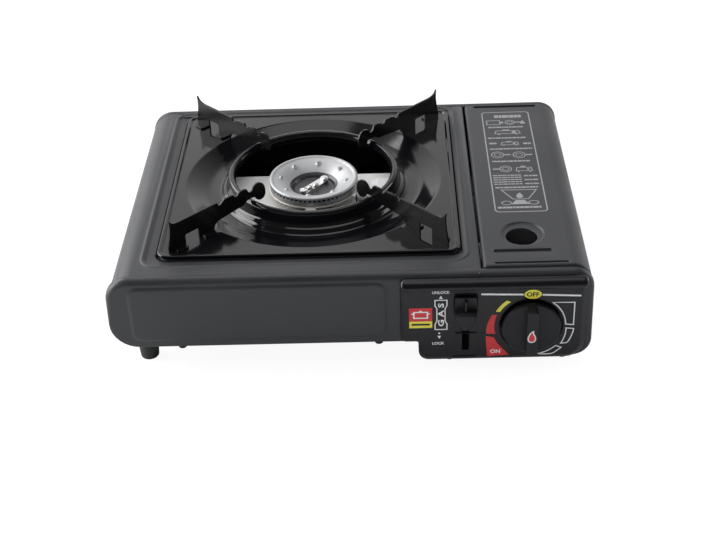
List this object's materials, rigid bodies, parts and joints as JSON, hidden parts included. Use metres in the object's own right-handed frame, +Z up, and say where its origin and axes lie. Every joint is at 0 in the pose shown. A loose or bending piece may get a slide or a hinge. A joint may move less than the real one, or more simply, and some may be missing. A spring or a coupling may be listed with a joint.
{
  "type": "portable gas stove",
  "caption": "Portable single-burner gas stove in a low pressed-steel casing, with drip tray, folded pan arms, hinged cartridge lid, control knob and lock lever.",
  "frame": {"origin": "on the table, under the middle of the box around the whole stove", "axes": "+X to the cartridge side (right, seen from the controls), +Y to the back, +Z up; the knob and lever face -Y"},
  "size_m": [0.34, 0.273, 0.106],
  "materials": {
    "casing_paint": "satin black powder coat",
    "enamel": "glossy dark enamel",
    "galvanised_steel": "galvanised sheet",
    "plated_steel": "zinc plated",
    "burner_aluminium": "satin",
    "die_cast_zinc": "as cast",
    "brass": "turned",
    "rubber": "matte",
    "black_plastic": "black, semi-gloss",
    "ivory_plastic": "moulded",
    "lead_silicone": "white silicone sleeve",
    "ceramic": null
  },
  "bodies": {
    "casing": {"body_shell": "casing_paint", "front_cap": "casing_paint", "back_cap": "casing_paint", "bottom_plate": "galvanised_steel", "partition": "galvanised_steel", "foot_front_left": "rubber", "foot_front_right": "rubber", "foot_back_left": "rubber", "foot_back_right": "rubber", "case_screws": "plated_steel", "hinge_brackets": "galvanised_steel", "lid_catch": "galvanised_steel", "burner_head": "burner_aluminium", "burner_cup": "burner_aluminium", "burner_clamp": "burner_aluminium", "burner_screws": "plated_steel", "burner_bridge": "galvanised_steel", "bridge_screws": "plated_steel", "heat_strip": "burner_aluminium", "mixing_tube": "burner_aluminium", "nozzle": "brass", "regulator_body": "die_cast_zinc", "regulator_cover": "die_cast_zinc", "regulator_screws": "plated_steel", "regulator_bracket": "galvanised_steel", "bracket_screws": "plated_steel", "inlet_seal": "rubber", "spindle_nut": "plated_steel", "igniter_case": "ivory_plastic", "igniter_lead": "lead_silicone", "lead_grommet": "rubber", "electrode_bracket": "galvanised_steel", "electrode_insulator": "ceramic", "electrode_rod": "plated_steel", "control_panel": "black_plastic", "panel_screws": "plated_steel", "lock_guide": "ivory_plastic", "pusher_keepers": "galvanised_steel", "cartridge_saddle": "galvanised_steel", "partition_screws": "plated_steel"},
    "lid": {"lid": "casing_paint", "lid_hinge_pins": "plated_steel"},
    "tray": {"drip_tray": "enamel", "arm_front_left": "enamel", "arm_front_right": "enamel", "arm_back_left": "enamel", "arm_back_right": "enamel"},
    "control": {"knob": "black_plastic", "valve_spindle": "brass", "igniter_cam": "black_plastic"},
    "striker": {"igniter_plunger": "black_plastic"},
    "lock": {"lock_lever": "black_plastic", "lock_plate": "galvanised_steel"},
    "pusher": {"pusher_bar": "galvanised_steel"}
  },
  "joints": [
    {"name": "lid_hinge", "type": "hinge", "parent": "casing", "child": "lid", "pos_m": [0.097, 0.008, 0.0775], "axis": [0, -1, 0], "range_deg": [0, 100]},
    {"name": "tray_lift", "type": "slide", "parent": "casing", "child": "tray", "axis": [0, 0, 1], "range_m": [0, 0.06]},
    {"name": "knob_turn", "type": "hinge", "parent": "casing", "child": "control", "pos_m": [0.1265, -0.125, 0.038], "axis": [0, -1, 0], "range_deg": [0, 150]},
    {"name": "striker_lift", "type": "slide", "parent": "casing", "child": "striker", "axis": [0, 0, 1], "range_m": [0, 0.006]},
    {"name": "lock_slide", "type": "slide", "parent": "casing", "child": "lock", "axis": [0, 0, -1], "range_m": [0, 0.02]},
    {"name": "pusher_slide", "type": "slide", "parent": "casing", "child": "pusher", "axis": [0, -1, 0], "range_m": [0, 0.01]}
  ],
  "couplings": [
    {"joint": "striker_lift", "follows": "knob_turn", "m_per_rad": 0.0022918},
    {"joint": "pusher_slide", "follows": "lock_slide", "ratio": 0.5}
  ]
}
